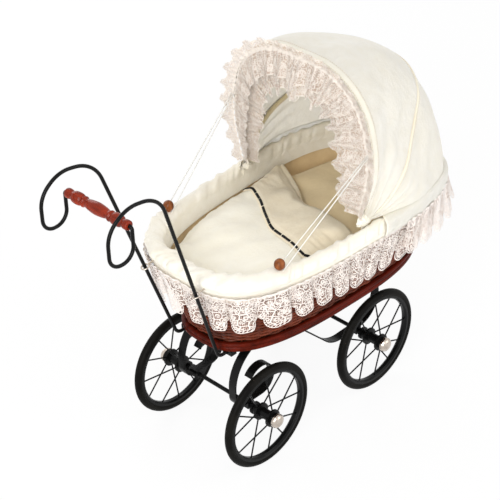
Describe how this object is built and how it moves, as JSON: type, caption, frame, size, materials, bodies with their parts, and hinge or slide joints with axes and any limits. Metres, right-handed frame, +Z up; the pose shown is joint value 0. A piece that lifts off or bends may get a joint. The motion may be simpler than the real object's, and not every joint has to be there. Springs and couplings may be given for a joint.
{
  "type": "doll stroller",
  "caption": "Old-style doll pram with an oval wicker basket, lace-trimmed cloth hood and bedding, strap springs, spoked wheels and bent push rods with a turned wooden grip.",
  "frame": {"origin": "on the ground, midway between the two axles and between the wheels", "axes": "+X towards the hood end, +Y to the left of someone facing that way, +Z up"},
  "size_m": [0.6289, 0.2681, 0.5402],
  "materials": {
    "black_enamel": "semi-gloss",
    "tyre_rubber": "satin",
    "nickel": "polished",
    "red_wood": "gloss lacquer",
    "brown_wood": "gloss lacquer",
    "board_wood": "matt",
    "wicker": "stained and varnished",
    "cream_cloth": "matt cotton",
    "lining_cloth": "matt cotton",
    "bedding_cloth": "matt quilted cotton",
    "lace": "matt",
    "black_ribbon": "satin",
    "white_elastic": "matt"
  },
  "bodies": {
    "chassis_and_basket": {"base_board": "board_wood", "base_moulding": "red_wood", "basket_liner": "lining_cloth", "blanket": "bedding_cloth", "blanket_ribbon": "black_ribbon", "blanket_turnover": "bedding_cloth", "cord_knob_left": "brown_wood", "cord_knob_right": "brown_wood", "handle_rod_left": "black_enamel", "handle_rod_right": "black_enamel", "hood_cord_left": "white_elastic", "hood_cord_right": "white_elastic", "hood_hem": "cream_cloth", "hood_pivot_left": "nickel", "hood_pivot_right": "nickel", "hood_rear_lace": "lace", "hood_rear_panel": "cream_cloth", "mattress": "bedding_cloth", "pillow": "bedding_cloth", "rim_cover": "cream_cloth", "rim_hoop": "wicker", "rod_eyes": "nickel", "rod_saddles": "black_enamel", "skirt_lace": "lace", "spring_bolts": "black_enamel", "spring_foot_left": "black_enamel", "spring_foot_right": "black_enamel", "spring_head_left": "black_enamel", "spring_head_right": "black_enamel", "wicker_basket": "wicker"},
    "grip": {"handle_grip": "red_wood"},
    "axle_foot": {"axle_foot": "black_enamel", "axle_foot_fasteners": "black_enamel"},
    "axle_head": {"axle_head": "black_enamel", "axle_head_fasteners": "black_enamel"},
    "wheel_foot_left": {"wheel_foot_left_tyre": "tyre_rubber", "wheel_foot_left_rim": "black_enamel", "wheel_foot_left_spokes": "black_enamel", "wheel_foot_left_hub": "black_enamel", "wheel_foot_left_cap": "nickel"},
    "wheel_foot_right": {"wheel_foot_right_tyre": "tyre_rubber", "wheel_foot_right_rim": "black_enamel", "wheel_foot_right_spokes": "black_enamel", "wheel_foot_right_hub": "black_enamel", "wheel_foot_right_cap": "nickel"},
    "wheel_head_left": {"wheel_head_left_tyre": "tyre_rubber", "wheel_head_left_rim": "black_enamel", "wheel_head_left_spokes": "black_enamel", "wheel_head_left_hub": "black_enamel", "wheel_head_left_cap": "nickel"},
    "wheel_head_right": {"wheel_head_right_tyre": "tyre_rubber", "wheel_head_right_rim": "black_enamel", "wheel_head_right_spokes": "black_enamel", "wheel_head_right_hub": "black_enamel", "wheel_head_right_cap": "nickel"},
    "hood_mid": {"hood_mid_hoop": "nickel", "hood_front_panel": "cream_cloth"},
    "hood_front": {"hood_front_hoop": "nickel", "hood_front_lace": "lace", "cord_tabs": "cream_cloth"}
  },
  "joints": [
    {"name": "grip_spin", "type": "hinge", "parent": "chassis_and_basket", "child": "grip", "pos_m": [-0.304, 0, 0.474], "axis": [0, 1, 0], "continuous": true},
    {"name": "spring_travel_foot", "type": "slide", "parent": "chassis_and_basket", "child": "axle_foot", "axis": [0, 0, 1], "range_m": [0, 0.006], "stiffness_N_per_m": 4000, "springref_m": -0.006, "deforming": ["spring_foot_left", "spring_foot_right"]},
    {"name": "spring_travel_head", "type": "slide", "parent": "chassis_and_basket", "child": "axle_head", "axis": [0, 0, 1], "range_m": [0, 0.006], "stiffness_N_per_m": 4000, "springref_m": -0.006, "deforming": ["spring_head_left", "spring_head_right"]},
    {"name": "roll_foot_left", "type": "hinge", "parent": "axle_foot", "child": "wheel_foot_left", "pos_m": [-0.114, 0.0895, 0.08], "axis": [0, 1, 0], "continuous": true},
    {"name": "roll_foot_right", "type": "hinge", "parent": "axle_foot", "child": "wheel_foot_right", "pos_m": [-0.114, -0.0895, 0.08], "axis": [0, 1, 0], "continuous": true},
    {"name": "roll_head_left", "type": "hinge", "parent": "axle_head", "child": "wheel_head_left", "pos_m": [0.114, 0.0895, 0.08], "axis": [0, 1, 0], "continuous": true},
    {"name": "roll_head_right", "type": "hinge", "parent": "axle_head", "child": "wheel_head_right", "pos_m": [0.114, -0.0895, 0.08], "axis": [0, 1, 0], "continuous": true},
    {"name": "hood_rear_fold", "type": "hinge", "parent": "chassis_and_basket", "child": "hood_mid", "pos_m": [0.061, 0, 0.3205], "axis": [0, 1, 0], "range_deg": [0, 30], "deforming": ["hood_rear_panel"]},
    {"name": "hood_front_fold", "type": "hinge", "parent": "hood_mid", "child": "hood_front", "pos_m": [0.061, 0, 0.3205], "axis": [0, 1, 0], "range_deg": [0, 33], "deforming": ["hood_front_panel"]}
  ],
  "couplings": [
    {"joint": "hood_front_fold", "follows": "hood_rear_fold", "ratio": 1.1}
  ]
}
